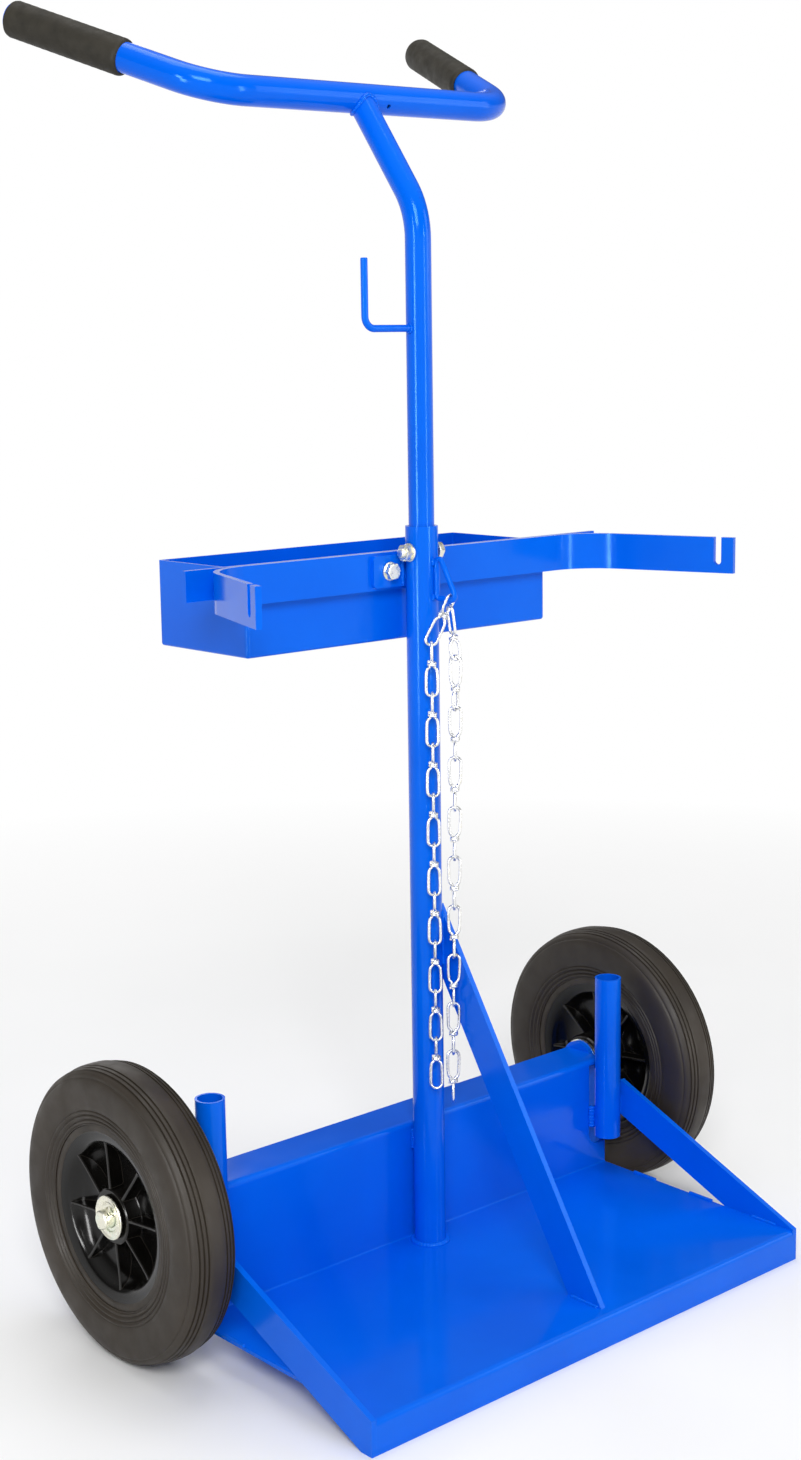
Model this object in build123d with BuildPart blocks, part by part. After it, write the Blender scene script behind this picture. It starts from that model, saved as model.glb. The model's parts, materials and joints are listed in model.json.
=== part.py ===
from build123d import *
from math import cos, sin, radians, sqrt, tan
import os

# Oxy acetylene torch cart. Millimetres, +Z up, the toe plate faces -Y and the grips point to +Y.
# The origin is the centre of the footprint, on the floor. SIDES gives each side's name and sign in X,
# and FRAME_ENDS collects the parts that the weld beads at each side run between.
os.makedirs("parts", exist_ok=True)
SIDES = (("left", -1), ("right", 1))
FRAME_ENDS = {"left": [], "right": []}

# Folded base sheet: front lip, toe plate, upright panel and rear flange
sheet_t = 3
base_half_w = 250
lip_y = -237.5
plate_top = 28
panel_y = -6.5
flange_top = 136
flange_rear = 38
fold_r = 1.5
notch_x = 227.5
notch_z = 50
notch_top = 131.5
notch_r = 12
bracket_slot_y = 3

# Flat bar used for the stays, the brace and the retaining arm
flat_w = 32
flat_t = 5
stay_top = 117.5
stay_rear = -27
brace_x = 12
brace_foot = -225.2
brace_angle = 58.1
brace_end = -31

# Mast, handle stem and handlebar
mast_y = -24.6
mast_r = 14
mast_bore = 11.5
mast_top = 672
stem_r = 11
stem_bore = 9
stem_foot = 600
stem_bend_z = 932
stem_bend_r = 70
bar_y = 47.1
bar_z = 1027.9
bar_r = 12.5
bar_bore = 10.5
bar_corners = {"left": -155.8, "right": 171.7}
bar_sweeps = {"left": 69.2, "right": 72.6}
bar_bend_r = 53
bar_tilt = 21.7
bar_roll = 0.65
bar_end_run = 200.5
grip_r = 15.3
grip_length = 117
grip_cap = 3
vent_x = 24
vent_r = 2

# Filler rod tubes beside the panel
rod_x = 237.5
rod_y = -21.5
rod_r = 12.5
rod_bore = 10.5
rod_foot = 63
rod_top = 222

# Hose hook
wire_r = 3
hook_z = 836.3
hook_x = -59.5
hook_tip = 893
hook_bend_r = 10

# Tool tray, its hanger bar, the retaining arm and the tab that bolts it to the mast
arm_y = mast_y + mast_r
arm_z = 618.5
arm_corner = 215
arm_bend_r = 50
arm_tips = {"left": (20, 133), "right": (18, 149)}
slot_from_tip = 15
slot_r = 3.5
slot_depth = 24.5
hanger_t = 4
hanger_h = 25
hanger_half_w = 233.5
tray_half_w = 171.5
tray_depth = 121.5
tray_t = 2
tray_z = 573.5
tray_top = 646.5
tab_left = -45.5
tab_t = 4
tab_z = 621
tab_h = 27
tab_bolt_x = -28
tab_bolt_z = 634.6

# M8 fasteners
bolt_r = 4
bolt_hole_r = 4.5
bolt_across = 13
head_h = 5.3
nut_h = 6.5
washer_r = 8
washer_t = 1.6
mast_bolt_z = 650

# Wheels on a fixed axle; distances are measured outward from the cart's centre plane
tyre_r = 125
axle_y = 25.5
axle_r = 8
axle_end = 317
bracket_in = 245
bracket_t = 5
bracket_r = 19
inner_washer_r = 20
inner_washer_t = 2.5
wheel_x = 290
tyre_half_w = 24
seat_r = 78
seat_half_w = 19.5
hub_in = 253
hub_out = 306
hub_r = 23.5
bush_r = 12
running_gap = 0.05
web_half_t = 2.5
rib_count = 8
rib_t = 3
rib_reach = 15
rib_turn = -6.5
dish_r = 62
mouth_r = 71.5
outer_washer_x = 306.5
outer_washer_r = 18.5
pin_x = 312.2
pin_r = 1.5

# Chain eye and knotted chain
eye_x = 2
eye_r = 2.5
eye_top = 654
eye_bar_z = 611
eye_out = -65.5
eye_bend_r = 3.5
hang_y = -57.5
link_wire_r = 1.25
oval_reach = 28
oval_half_w = 4.9
loop_reach = 18.5
loop_half_w = 4.25
knot_r = 4.3
knot_half_h = 2.6
link_gap = 0.35
eye_gap = 0.55
strand_links = 10
chain_turn = -41.3
top_lean = 26
hooked_at = (9.6, 1.3)
right_turns = (75, 110)
right_strand = (5.6, -60.4)
right_drift = 0.9


def tube_along(path, outer, bore):
    """Sweep a round tube along a path, inside the current BuildPart."""
    with BuildSketch(Plane(path @ 0, z_dir=path % 0)) as ring:
        Circle(outer)
        if bore:
            Circle(bore, mode=Mode.SUBTRACT)
    sweep(ring.sketch, path=path)


def box_between(low, high, mode=Mode.ADD):
    """A box from its lowest corner to its highest corner, inside the current BuildPart."""
    size = [b - a for a, b in zip(low, high)]
    with Locations(tuple((a + b) / 2 for a, b in zip(low, high))):
        Box(*size, mode=mode)


def wheel_plane(sign, turn=0):
    """Plane through the axle: local x is outward from the cart, local y is the radius."""
    a = radians(turn)
    return Plane((0, axle_y, tyre_r), x_dir=(sign, 0, 0), z_dir=(0, -sign * cos(a), -sign * sin(a)))


axle_line = Axis((0, axle_y, tyre_r), (1, 0, 0))

# ---------------------------------------------------------------- base sheet
with BuildPart() as base_plate:
    with BuildSketch(Plane.YZ) as section:
        with BuildLine():
            Polyline(
                (lip_y, 0), (lip_y, plate_top), (panel_y, plate_top), (panel_y, flange_top),
                (flange_rear, flange_top), (flange_rear, flange_top - sheet_t),
                (panel_y + sheet_t, flange_top - sheet_t), (panel_y + sheet_t, plate_top - sheet_t),
                (lip_y + sheet_t, plate_top - sheet_t), (lip_y + sheet_t, 0), close=True,
            )
        make_face()
        outside = ((lip_y, plate_top), (panel_y, flange_top), (panel_y + sheet_t, plate_top - sheet_t))
        inside = ((lip_y + sheet_t, plate_top - sheet_t), (panel_y, plate_top),
                  (panel_y + sheet_t, flange_top - sheet_t))
        for corners, radius in ((outside, fold_r + sheet_t), (inside, fold_r)):
            for y, z in corners:
                fillet(section.vertices().sort_by_distance((y, z))[0], radius)
    extrude(amount=base_half_w, both=True)
    for _, sign in SIDES:
        middle = (notch_x + base_half_w + 10) / 2
        with BuildSketch(Plane.XZ.offset(-panel_y + 1)) as notch:
            with Locations((sign * middle, (notch_z + notch_top) / 2)):
                Rectangle(base_half_w + 10 - notch_x, notch_top - notch_z)
            inner_low = notch.vertices().sort_by_distance((sign * notch_x, notch_z))[0]
            fillet(inner_low, notch_r)
        extrude(amount=-(fold_r + sheet_t + 1), mode=Mode.SUBTRACT)
        slot_x = sorted((sign * bracket_in, sign * (base_half_w + 10)))
        box_between((slot_x[0], bracket_slot_y, notch_top), (slot_x[1], flange_rear + 1, flange_top + 1),
                    Mode.SUBTRACT)
base_plate.part.label = "base_plate"
export_step(base_plate.part, "parts/base_plate.step")

# ---------------------------------------------------------------- side stays and centre brace
stay_slope = (stay_top - plate_top - 1.5) / (stay_rear - lip_y)
stay_drop = flat_w * sqrt(1 + stay_slope**2)
for side, sign in SIDES:
    with BuildPart() as stay:
        with BuildSketch(Plane.YZ.offset(sign * base_half_w)):
            with BuildLine():
                Polyline(
                    (lip_y, 0), (lip_y, plate_top + 1.5), (stay_rear, stay_top),
                    (stay_rear, stay_top - stay_drop),
                    (lip_y + (stay_drop - plate_top - 1.5) / stay_slope, 0), close=True,
                )
            make_face()
        extrude(amount=sign * flat_t)
    FRAME_ENDS[side].append(stay)
    stay.part.label = f"{side}_stay"
    export_step(stay.part, f"parts/{side}_stay.step")

with BuildPart() as centre_brace:
    rise = tan(radians(brace_angle))
    width = flat_w / sin(radians(brace_angle))
    run = brace_end - brace_foot
    with BuildSketch(Plane.YZ.offset(brace_x - flat_t / 2)):
        with BuildLine():
            Polyline(
                (brace_foot, plate_top), (brace_end, plate_top + run * rise),
                (brace_end, plate_top + (run - width) * rise), (brace_foot + width, plate_top), close=True,
            )
        make_face()
    extrude(amount=flat_t)
    with BuildSketch(Plane.XY):
        with Locations((0, mast_y)):
            Circle(mast_r)
    extrude(amount=mast_top, mode=Mode.SUBTRACT)
centre_brace.part.label = "centre_brace"
export_step(centre_brace.part, "parts/centre_brace.step")

# ---------------------------------------------------------------- mast, stem and handlebar
with BuildPart() as mast_tube:
    with BuildSketch(Plane.XY.offset(plate_top)):
        with Locations((0, mast_y)):
            Circle(mast_r)
            Circle(mast_bore, mode=Mode.SUBTRACT)
    extrude(amount=mast_top - plate_top)
    with BuildSketch(Plane.YZ.offset(-2 * mast_r)):
        with Locations((mast_y, mast_bolt_z)):
            Circle(bolt_hole_r)
    extrude(amount=4 * mast_r, mode=Mode.SUBTRACT)
mast_tube.part.label = "mast_tube"
export_step(mast_tube.part, "parts/mast_tube.step")

tilt, roll = radians(bar_tilt), radians(bar_roll)
handle_plane = Plane((0, bar_y, bar_z), x_dir=(cos(roll), 0, sin(roll)),
                     z_dir=(-sin(roll) * cos(tilt), -sin(tilt), cos(roll) * cos(tilt)))
with BuildPart() as handle_stem:
    with BuildLine(Plane.YZ) as stem_path:
        FilletPolyline((mast_y, stem_foot), (mast_y, stem_bend_z), (bar_y, bar_z), radius=stem_bend_r)
    tube_along(stem_path.line, stem_r, stem_bore)
    with BuildSketch(Plane(handle_plane.origin, z_dir=handle_plane.x_dir)):
        Circle(bar_r)
    extrude(amount=2 * mast_r, both=True, mode=Mode.SUBTRACT)
    with BuildSketch(Plane.YZ.offset(-2 * mast_r)):
        with Locations((mast_y, mast_bolt_z)):
            Circle(bolt_hole_r)
    extrude(amount=4 * mast_r, mode=Mode.SUBTRACT)
handle_stem.part.label = "handle_stem"
export_step(handle_stem.part, "parts/handle_stem.step")

bar_ends = {}
for side, sign in SIDES:
    swept = radians(bar_sweeps[side])
    bar_ends[side] = (bar_corners[side] + sign * bar_end_run * cos(swept), bar_end_run * sin(swept))
with BuildPart() as handlebar:
    with BuildLine(handle_plane) as bar_path:
        FilletPolyline(bar_ends["left"], (bar_corners["left"], 0), (bar_corners["right"], 0),
                       bar_ends["right"], radius=bar_bend_r)
    tube_along(bar_path.line, bar_r, bar_bore)
    with BuildSketch(Plane(handle_plane.from_local_coords(Vector(vent_x, 0, 0)), z_dir=(0, -1, -0.6))):
        Circle(vent_r)
    extrude(amount=bar_r + 1, mode=Mode.SUBTRACT)
handlebar.part.label = "handlebar"
export_step(handlebar.part, "parts/handlebar.step")

for side, sign in SIDES:
    tube_end = handle_plane.from_local_coords(Vector(*bar_ends[side]))
    ahead = (tube_end - handle_plane.from_local_coords(Vector(bar_corners[side], 0, 0))).normalized()
    with BuildPart() as grip:
        with BuildSketch(Plane(tube_end + ahead * grip_cap, z_dir=-ahead)):
            Circle(grip_r)
        extrude(amount=grip_length)
        fillet(grip.edges().group_by(Axis(tuple(tube_end), tuple(ahead)))[-1], 4)
        fillet(grip.edges().group_by(Axis(tuple(tube_end), tuple(ahead)))[0], 1)
        with BuildSketch(Plane(tube_end, z_dir=-ahead)):
            Circle(bar_r)
        extrude(amount=grip_length, mode=Mode.SUBTRACT)
    grip.part.label = f"{side}_grip"
    export_step(grip.part, f"parts/{side}_grip.step")

# ---------------------------------------------------------------- filler rod tubes and hose hook
for side, sign in SIDES:
    with BuildPart() as rod_tube:
        with BuildSketch(Plane.XY.offset(rod_foot)):
            with Locations((sign * rod_x, rod_y)):
                Circle(rod_r)
                Circle(rod_bore, mode=Mode.SUBTRACT)
        extrude(amount=rod_top - rod_foot)
    FRAME_ENDS[side].append(rod_tube)
    rod_tube.part.label = f"{side}_rod_tube"
    export_step(rod_tube.part, f"parts/{side}_rod_tube.step")

with BuildPart() as hose_hook:
    with BuildLine(Plane.XZ.offset(-mast_y)) as hook_path:
        FilletPolyline((-stem_r + 2, hook_z), (hook_x, hook_z), (hook_x, hook_tip), radius=hook_bend_r)
    tube_along(hook_path.line, wire_r, 0)
    fillet(hose_hook.edges().group_by(Axis.Z)[-1], 1)
    with BuildSketch(Plane.XY.offset(hook_z - 10)):
        with Locations((0, mast_y)):
            Circle(stem_r)
    extrude(amount=20, mode=Mode.SUBTRACT)
hose_hook.part.label = "hose_hook"
export_step(hose_hook.part, "parts/hose_hook.step")

# ---------------------------------------------------------------- retaining arm, hanger bar and tray
arm_mid_y = arm_y + flat_t / 2
hanger_y = arm_y + flat_t
tray_y = hanger_y + hanger_t


def bolt_hole_through(y0, y1):
    """Clearance hole for the tab bolt between two depths, inside the current BuildPart."""
    with BuildSketch(Plane.XZ.offset(-y0)) as hole:
        with Locations((tab_bolt_x, tab_bolt_z)):
            Circle(bolt_hole_r)
    extrude(hole.sketch, amount=-(y1 - y0), mode=Mode.SUBTRACT)


def along_arm(side, sign, from_tip):
    """Point on the arm's centre line, a distance back from one of its two tips."""
    splay = radians(arm_tips[side][0])
    run = arm_tips[side][1] - from_tip
    return (sign * (arm_corner + run * sin(splay)), arm_mid_y - run * cos(splay))


with BuildPart() as retaining_arm:
    with BuildSketch(Plane.XY.offset(arm_z)):
        with BuildLine():
            FilletPolyline(along_arm("left", -1, 0), (-arm_corner, arm_mid_y), (arm_corner, arm_mid_y),
                           along_arm("right", 1, 0), radius=arm_bend_r)
        trace(line_width=flat_t)
    extrude(amount=flat_w)
    for side, sign in SIDES:
        splay = radians(arm_tips[side][0])
        along = (sign * sin(splay), -cos(splay), 0)
        across = (cos(splay), sign * sin(splay), 0)
        slot_at = along_arm(side, sign, slot_from_tip)
        slot_low = arm_z + flat_w - slot_depth + slot_r
        with BuildSketch(Plane((*slot_at, slot_low), x_dir=along, z_dir=across)):
            Circle(slot_r)
        extrude(amount=flat_t, both=True, mode=Mode.SUBTRACT)
        with Locations(Plane((*slot_at, slot_low + slot_depth / 2), x_dir=along, z_dir=(0, 0, 1))):
            Box(2 * slot_r, 2 * flat_t, slot_depth, mode=Mode.SUBTRACT)
    bolt_hole_through(arm_y - 1, hanger_y + 1)
retaining_arm.part.label = "retaining_arm"
export_step(retaining_arm.part, "parts/retaining_arm.step")

with BuildPart() as hanger_bar:
    box_between((-hanger_half_w, hanger_y, arm_z + flat_w - hanger_h),
                (hanger_half_w, tray_y, arm_z + flat_w))
    bolt_hole_through(hanger_y - 1, tray_y + 1)
hanger_bar.part.label = "hanger_bar"
export_step(hanger_bar.part, "parts/hanger_bar.step")

with BuildPart() as tool_tray:
    box_between((-tray_half_w, tray_y, tray_z), (tray_half_w, tray_y + tray_depth, tray_top))
    fillet(tool_tray.edges().filter_by(Axis.Z), 3)
    fillet(tool_tray.edges().group_by(Axis.Z)[0], 2.5)
    offset(amount=-tray_t, openings=tool_tray.faces().sort_by(Axis.Z)[-1])
    bolt_hole_through(tray_y - 1, tray_y + tray_t + 1)
tool_tray.part.label = "tool_tray"
export_step(tool_tray.part, "parts/tool_tray.step")

with BuildPart() as mast_tab:
    box_between((tab_left, arm_y - tab_t, tab_z), (-mast_bore + 3, arm_y, tab_z + tab_h))
    fillet(mast_tab.edges().filter_by(Axis.Y).group_by(Axis.X)[0], 4)
    with BuildSketch(Plane.XY.offset(tab_z - 1)):
        with Locations((0, mast_y)):
            Circle(mast_r)
    extrude(amount=tab_h + 2, mode=Mode.SUBTRACT)
    bolt_hole_through(arm_y - tab_t - 1, arm_y + 1)
mast_tab.part.label = "mast_tab"
export_step(mast_tab.part, "parts/mast_tab.step")


# ---------------------------------------------------------------- M8 fasteners
def hex_prism(plane, height):
    """Hexagonal prism standing on a plane, inside the current BuildPart."""
    with BuildSketch(plane) as hexagon:
        RegularPolygon(bolt_across / 2, 6, major_radius=False)
    extrude(hexagon.sketch, amount=height)


def washer_on(plane, outer, inner, thickness):
    """Flat washer standing on a plane, inside the current BuildPart."""
    with BuildSketch(plane) as ring:
        Circle(outer)
        Circle(inner, mode=Mode.SUBTRACT)
    extrude(ring.sketch, amount=thickness)


def fasten(name, head_plane, grip_span):
    """Bolt, nut and two washers; the head plane's normal points out of the head side."""
    nut_plane = Plane(head_plane.origin - head_plane.z_dir * grip_span, z_dir=-head_plane.z_dir)
    with BuildPart() as bolt:
        hex_prism(head_plane.offset(washer_t), head_h)
        with BuildSketch(head_plane.offset(washer_t)):
            Circle(bolt_r)
        extrude(amount=-(grip_span + 2 * washer_t + nut_h + 3))
        chamfer(bolt.edges().group_by(Axis(tuple(head_plane.origin), tuple(head_plane.z_dir)))[0], 0.8)
    bolt.part.label = f"{name}_bolt"
    export_step(bolt.part, f"parts/{name}_bolt.step")
    with BuildPart() as nut:
        hex_prism(nut_plane.offset(washer_t), nut_h)
        with BuildSketch(nut_plane.offset(washer_t)):
            Circle(bolt_r)
        extrude(amount=nut_h, mode=Mode.SUBTRACT)
    nut.part.label = f"{name}_nut"
    export_step(nut.part, f"parts/{name}_nut.step")
    with BuildPart() as washers:
        washer_on(head_plane, washer_r, bolt_hole_r - 0.3, washer_t)
        washer_on(nut_plane, washer_r, bolt_hole_r - 0.3, washer_t)
    washers.part.label = f"{name}_washers"
    export_step(washers.part, f"parts/{name}_washers.step")


tab_face = Plane((tab_bolt_x, arm_y - tab_t, tab_bolt_z), x_dir=(1, 0, 0), z_dir=(0, -1, 0))
fasten("tab", tab_face, tab_t + flat_t + hanger_t + tray_t)
mast_face = Plane((mast_r, mast_y, mast_bolt_z), x_dir=(0, 1, 0), z_dir=(1, 0, 0))
fasten("mast", mast_face, 2 * mast_r)

# ---------------------------------------------------------------- axle, brackets and wheels
with BuildPart() as axle:
    with BuildSketch(Plane.YZ.offset(-axle_end)):
        with Locations((axle_y, tyre_r)):
            Circle(axle_r)
    extrude(amount=2 * axle_end)
    chamfer(axle.edges(), 1)
    for _, sign in SIDES:
        with BuildSketch(Plane((sign * pin_x, axle_y, tyre_r), x_dir=(sign, 0, 0), z_dir=(0, 1, -1))):
            Circle(pin_r + 0.1)
        extrude(amount=2 * axle_r, both=True, mode=Mode.SUBTRACT)
axle.part.label = "axle"
export_step(axle.part, "parts/axle.step")

for side, sign in SIDES:
    flat = wheel_plane(sign)
    with BuildPart() as bracket:
        with BuildSketch(Plane.YZ.offset(sign * bracket_in)):
            with BuildSketch(mode=Mode.PRIVATE) as hull_parts:
                with Locations((axle_y, tyre_r)):
                    Circle(bracket_r)
                with Locations((panel_y + sheet_t + 6, 70)):
                    Rectangle(12, 80)
            make_hull(hull_parts.edges())
            with Locations((axle_y, tyre_r)):
                Circle(axle_r + 0.1, mode=Mode.SUBTRACT)
        extrude(amount=sign * bracket_t)
    FRAME_ENDS[side].append(bracket)
    bracket.part.label = f"{side}_axle_bracket"
    export_step(bracket.part, f"parts/{side}_axle_bracket.step")

    with BuildPart() as inner_washer:
        washer_on(Plane((sign * (bracket_in + bracket_t), axle_y, tyre_r), z_dir=(sign, 0, 0)),
                  inner_washer_r, axle_r + 0.4, inner_washer_t)
    inner_washer.part.label = f"{side}_inner_washer"
    export_step(inner_washer.part, f"parts/{side}_inner_washer.step")

    with BuildPart() as rim:
        edge_out = wheel_x + seat_half_w
        edge_in = wheel_x - seat_half_w
        with BuildSketch(flat):
            with BuildLine():
                Polyline(
                    (hub_in, bush_r), (hub_in, hub_r - 2), (hub_in + 2, hub_r), (wheel_x - web_half_t, hub_r + 1),
                    (wheel_x - web_half_t, dish_r - 14), (wheel_x - 7, dish_r - 5), (wheel_x - rib_reach, dish_r),
                    (edge_in + 0.8, mouth_r), (edge_in, mouth_r + 1), (edge_in, seat_r),
                    (edge_out, seat_r), (edge_out, mouth_r + 1), (edge_out - 0.8, mouth_r),
                    (wheel_x + rib_reach, dish_r), (wheel_x + 7, dish_r - 5), (wheel_x + web_half_t, dish_r - 14),
                    (wheel_x + web_half_t, hub_r + 1), (hub_out - 1, hub_r), (hub_out, hub_r - 1),
                    (hub_out, bush_r), close=True,
                )
            make_face()
        revolve(axis=axle_line)
        for k in range(rib_count):
            with BuildSketch(wheel_plane(sign, k * 360 / rib_count + rib_turn)):
                with BuildLine():
                    Polyline(
                        (wheel_x - rib_reach, hub_r - 3), (wheel_x - rib_reach, dish_r + 2),
                        (wheel_x + rib_reach, dish_r + 2), (wheel_x + rib_reach, hub_r - 3), close=True,
                    )
                make_face()
            extrude(amount=rib_t / 2, both=True)
    rim.part.label = f"{side}_rim"
    export_step(rim.part, f"parts/{side}_rim.step")

    with BuildPart() as bush:
        with BuildSketch(flat):
            with BuildLine():
                Polyline((hub_in, axle_r + running_gap), (hub_in, bush_r), (hub_out, bush_r),
                         (hub_out, axle_r + running_gap), close=True)
            make_face()
        revolve(axis=axle_line)
    bush.part.label = f"{side}_wheel_bush"
    export_step(bush.part, f"parts/{side}_wheel_bush.step")

    with BuildPart() as tyre:
        inner_edge = wheel_x - tyre_half_w
        outer_edge = wheel_x + tyre_half_w
        with BuildSketch(flat):
            with BuildLine():
                Line((edge_in, seat_r), (edge_out, seat_r))
                ThreePointArc((edge_out, seat_r), (outer_edge, 100), (outer_edge - 2.5, 116))
                ThreePointArc((outer_edge - 2.5, 116), (outer_edge - 5.5, 120.8), (outer_edge - 10, 123))
                ThreePointArc((outer_edge - 10, 123), (wheel_x, tyre_r), (inner_edge + 10, 123))
                ThreePointArc((inner_edge + 10, 123), (inner_edge + 5.5, 120.8), (inner_edge + 2.5, 116))
                ThreePointArc((inner_edge + 2.5, 116), (inner_edge, 100), (edge_in, seat_r))
            make_face()
            grooves = [(dx, sqrt(tyre_r**2 - 40 * abs(dx)) + 0.4) for dx in (-12, -6, 0, 6, 12)]
            with Locations(*[(wheel_x + dx, r) for dx, r in grooves]):
                Circle(1.2, mode=Mode.SUBTRACT)
        revolve(axis=axle_line)
    tyre.part.label = f"{side}_tyre"
    export_step(tyre.part, f"parts/{side}_tyre.step")

    with BuildPart() as outer_washer:
        with BuildSketch(flat):
            with BuildLine():
                x0 = outer_washer_x
                Polyline((x0, axle_r + 0.4), (x0, 12.5), (x0, outer_washer_r - 1), (x0 + 1.5, outer_washer_r),
                         (x0 + 3, outer_washer_r), (x0 + 1.6, 14.5), (x0 + 1.6, axle_r + 0.4), close=True)
            make_face()
        revolve(axis=axle_line)
    outer_washer.part.label = f"{side}_outer_washer"
    export_step(outer_washer.part, f"parts/{side}_outer_washer.step")

    pin_down = Plane((sign * pin_x, axle_y, tyre_r), x_dir=(sign, 0, 0), z_dir=(0, 1, -1))
    with BuildPart() as split_pin:
        with BuildSketch(pin_down.offset(-axle_r - 6)):
            Circle(pin_r)
        extrude(amount=2 * axle_r + 7.5)
        with BuildSketch(Plane((sign * pin_x, axle_y, tyre_r), x_dir=(0, 1, -1), z_dir=(1, 0, 0))):
            with Locations((axle_r + 4.3, 0)):
                Circle(3.8)
                Circle(1.6, mode=Mode.SUBTRACT)
        extrude(amount=pin_r - 0.3, both=True)
    split_pin.part.label = f"{side}_split_pin"
    export_step(split_pin.part, f"parts/{side}_split_pin.step")

# ---------------------------------------------------------------- chain eye
with BuildPart() as chain_eye:
    leg_y = mast_y - mast_r - eye_r
    with BuildLine(Plane.YZ.offset(eye_x)) as eye_path:
        FilletPolyline((leg_y, eye_bar_z), (eye_out, eye_bar_z), (leg_y, eye_top),
                       radius=eye_bend_r, close=True)
    tube_along(eye_path.line, eye_r, 0)
    with BuildSketch(Plane.XY.offset(eye_bar_z - 10)):
        with Locations((0, mast_y)):
            Circle(mast_r)
    extrude(amount=70, mode=Mode.SUBTRACT)
chain_eye.part.label = "chain_eye"
export_step(chain_eye.part, "parts/chain_eye.step")

# ---------------------------------------------------------------- weld beads
def bead(start, end, radius):
    """Round-ended run of weld between two points, inside the current BuildPart."""
    with BuildSketch(Plane(start, z_dir=Vector(*end) - Vector(*start))) as disc:
        Circle(radius)
    extrude(disc.sketch, amount=(Vector(*end) - Vector(*start)).length)
    with Locations(start, end):
        Sphere(radius)


with BuildPart() as frame_welds:
    for side, sign in SIDES:
        bead((sign * 229.2, -8.6, 72), (sign * 229.2, -8.6, 89), 3.8)
        bead((sign * 250.8, stay_rear + 1.5, 86), (sign * 250.8, stay_rear + 1.5, 101), 2.8)
        bead((sign * 5, panel_y - 2.2, 113), (sign * 5, panel_y - 2.2, 130), 2.8)
        bead((sign * 245.5, panel_y + sheet_t + 1, 33), (sign * 245.5, panel_y + sheet_t + 1, 46), 2.2)
    with Locations((0, mast_y, plate_top)):
        Torus(mast_r + 1, 2.8)
    for part in (base_plate, mast_tube, centre_brace):
        add(part.part, mode=Mode.SUBTRACT)
    for side, sign in SIDES:
        for near in FRAME_ENDS[side]:
            add(near.part, mode=Mode.SUBTRACT)
    box_between((-base_half_w, lip_y, 0), (base_half_w, flange_rear, plate_top), Mode.SUBTRACT)
frame_welds.part.label = "frame_welds"
export_step(frame_welds.part, "parts/frame_welds.step")

# ---------------------------------------------------------------- knotted chain
# A link has a short loop and a long oval on either side of its knot. Its plane has the origin at the
# knot, z from the oval to the loop, and x across the oval. The left strand hangs loop up, the right oval up.


def loop_wire(plane, half_w, reach):
    """Open bent wire from the knot, round the far end and back, on a plane's x and y axes."""
    with BuildLine(plane) as bent:
        FilletPolyline((1, 0), (half_w, 0.35 * reach), (half_w, reach), (-half_w, reach),
                       (-half_w, 0.35 * reach), (-1, 0), radius=half_w * 0.98)
    tube_along(bent.line, link_wire_r, 0)


def add_link(plane, loop_dir):
    """One chain link, inside the current BuildPart."""
    with BuildSketch(plane.offset(-knot_half_h)) as knot:
        Circle(knot_r)
    extrude(knot.sketch, amount=2 * knot_half_h)
    loop_wire(Plane(plane.origin, x_dir=loop_dir, z_dir=Vector(*loop_dir).cross(plane.z_dir)),
              loop_half_w, loop_reach)
    loop_wire(Plane(plane.origin, x_dir=plane.x_dir, z_dir=plane.z_dir.cross(plane.x_dir)),
              oval_half_w, oval_reach)


def turned(angle):
    """Horizontal direction at an angle from +X."""
    return Vector(cos(radians(angle)), sin(radians(angle)), 0)


def leaned(across, lean):
    """Direction leaning from straight up towards a horizontal direction."""
    return across * sin(radians(lean)) + Vector(0, 0, cos(radians(lean)))


def strand(knots):
    """Build consecutive links from (knot, up, oval direction, loop direction) entries."""
    for origin, up, oval_dir, loop_dir in knots:
        add_link(Plane(origin, x_dir=oval_dir, z_dir=up), tuple(loop_dir))


def hung_below(knot, down, reach, half_w):
    """Centre of the next link's wire, hung in the lowest point of a loop or oval."""
    end_centre = knot + down * (reach - half_w)
    return end_centre + Vector(0, 0, contact - half_w)


across = turned(chain_turn)
behind = turned(chain_turn + 90)
contact = 2 * link_wire_r + link_gap
top_up = leaned(across, top_lean)
bar_gap = eye_r + link_wire_r + eye_gap
top_knot = Vector(eye_x, hang_y, eye_bar_z) - top_up * (loop_reach - bar_gap)
top_loop_dir = Vector(0, 1, 0).cross(top_up).normalized()
top_oval_dir = (across - top_up * across.dot(top_up)).normalized()
upright = Vector(0, 0, 1)
left_knots = [(top_knot, top_up, top_oval_dir, top_loop_dir)]
left_wires = [None]
wire = hung_below(top_knot, -top_up, oval_reach, oval_half_w)
for _ in range(1, strand_links):
    knot = wire - upright * loop_reach
    left_knots.append((knot, upright, across, behind))
    left_wires.append(wire)
    wire = hung_below(knot, -upright, oval_reach, oval_half_w)

right_knots = []
right_wires = []
wire = top_knot + top_up * hooked_at[0] + top_loop_dir * hooked_at[1]
hooked_up = wire - Vector(right_strand[0], right_strand[1], wire.Z - oval_reach - loop_reach)
for k in range(strand_links):
    turn = right_turns[k] if k < len(right_turns) else chain_turn
    up = leaned(across, right_drift) if k else hooked_up.normalized()
    oval_dir = (turned(turn) - up * turned(turn).dot(up)).normalized()
    knot = wire - up * oval_reach
    right_knots.append((knot, -up, oval_dir, up.cross(oval_dir)))
    right_wires.append(wire)
    wire = hung_below(knot, -up, loop_reach, loop_half_w)

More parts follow.
